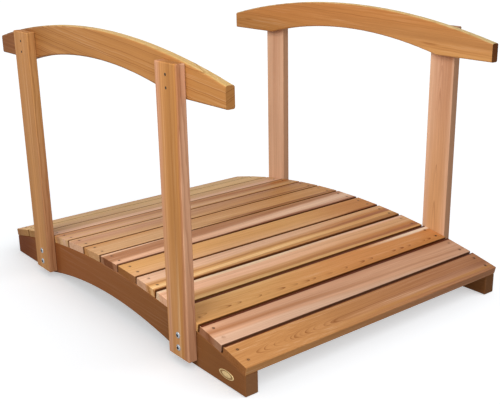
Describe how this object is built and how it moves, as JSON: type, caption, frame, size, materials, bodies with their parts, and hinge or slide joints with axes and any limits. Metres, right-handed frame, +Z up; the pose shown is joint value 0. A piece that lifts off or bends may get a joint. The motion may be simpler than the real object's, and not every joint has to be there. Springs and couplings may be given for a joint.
{
  "type": "arched garden footbridge",
  "caption": "Low arched wooden garden footbridge: two arched beams, boards laid across them, flat side posts and an arched handrail on each side",
  "frame": {"origin": "on the ground, in the middle of the bridge, at the centre of the bottom of its bounding box", "axes": "+X runs along the walk to the near end in the picture, +Y runs across the walk to the right-hand handrail, +Z is up"},
  "size_m": [1.2284, 0.9644, 0.7809],
  "materials": {
    "beam_wood": "sawn and planed cedar, darker from treatment",
    "deck_wood": "planed cedar, clear satin oil",
    "post_wood": "planed cedar with eased edges, clear satin oil",
    "rail_wood": "planed cedar with rounded edges, clear satin oil"
  },
  "bodies": {
    "root": {"left_beam": "beam_wood", "right_beam": "beam_wood", "deck_board_01": "deck_wood", "deck_board_02": "deck_wood", "deck_board_03": "deck_wood", "deck_board_04": "deck_wood", "deck_board_05": "deck_wood", "deck_board_06": "deck_wood", "deck_board_07": "deck_wood", "deck_board_08": "deck_wood", "deck_board_09": "deck_wood", "deck_board_10": "deck_wood", "deck_board_11": "deck_wood", "deck_board_12": "deck_wood", "deck_board_13": "deck_wood", "left_near_post": "post_wood", "left_far_post": "post_wood", "right_near_post": "post_wood", "right_far_post": "post_wood", "left_handrail": "rail_wood", "right_handrail": "rail_wood"}
  },
  "joints": []
}
